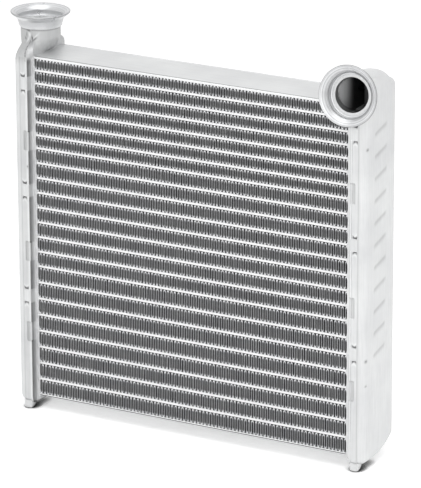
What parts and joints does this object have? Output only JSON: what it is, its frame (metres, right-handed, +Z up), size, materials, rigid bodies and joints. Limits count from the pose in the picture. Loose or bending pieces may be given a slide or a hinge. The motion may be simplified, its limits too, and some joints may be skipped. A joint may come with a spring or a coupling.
{
  "type": "heater core",
  "caption": "Brazed aluminium heater core: flat tubes and folded fins between two pressed end tanks, each with a flared round port.",
  "frame": {"origin": "middle of the underside of the bottom side plate", "axes": "+X along the tubes from the left tank to the right tank, +Y away from the face that the air enters, +Z up"},
  "size_m": [0.2442, 0.0539, 0.2365],
  "materials": {
    "tank_sheet": "pressed and brazed, satin",
    "tube_sheet": "folded, bright satin",
    "fin_sheet": "thin rolled sheet, dull",
    "side_sheet": "rolled sheet, satin",
    "collar_sheet": "pressed ring, satin"
  },
  "bodies": {
    "root": {"bottom_side_plate": "side_sheet", "fin_01": "fin_sheet", "fin_02": "fin_sheet", "fin_03": "fin_sheet", "fin_04": "fin_sheet", "fin_05": "fin_sheet", "fin_06": "fin_sheet", "fin_07": "fin_sheet", "fin_08": "fin_sheet", "fin_09": "fin_sheet", "fin_10": "fin_sheet", "fin_11": "fin_sheet", "fin_12": "fin_sheet", "fin_13": "fin_sheet", "fin_14": "fin_sheet", "fin_15": "fin_sheet", "fin_16": "fin_sheet", "fin_17": "fin_sheet", "fin_18": "fin_sheet", "fin_19": "fin_sheet", "fin_20": "fin_sheet", "fin_21": "fin_sheet", "fin_22": "fin_sheet", "fin_23": "fin_sheet", "left_header_plate": "tank_sheet", "left_tank_cover": "tank_sheet", "port_collars": "collar_sheet", "right_header_plate": "tank_sheet", "right_tank_cover": "tank_sheet", "top_side_plate": "side_sheet", "tube_01": "tube_sheet", "tube_02": "tube_sheet", "tube_03": "tube_sheet", "tube_04": "tube_sheet", "tube_05": "tube_sheet", "tube_06": "tube_sheet", "tube_07": "tube_sheet", "tube_08": "tube_sheet", "tube_09": "tube_sheet", "tube_10": "tube_sheet", "tube_11": "tube_sheet", "tube_12": "tube_sheet", "tube_13": "tube_sheet", "tube_14": "tube_sheet", "tube_15": "tube_sheet", "tube_16": "tube_sheet", "tube_17": "tube_sheet", "tube_18": "tube_sheet", "tube_19": "tube_sheet", "tube_20": "tube_sheet", "tube_21": "tube_sheet", "tube_22": "tube_sheet"}
  },
  "joints": []
}
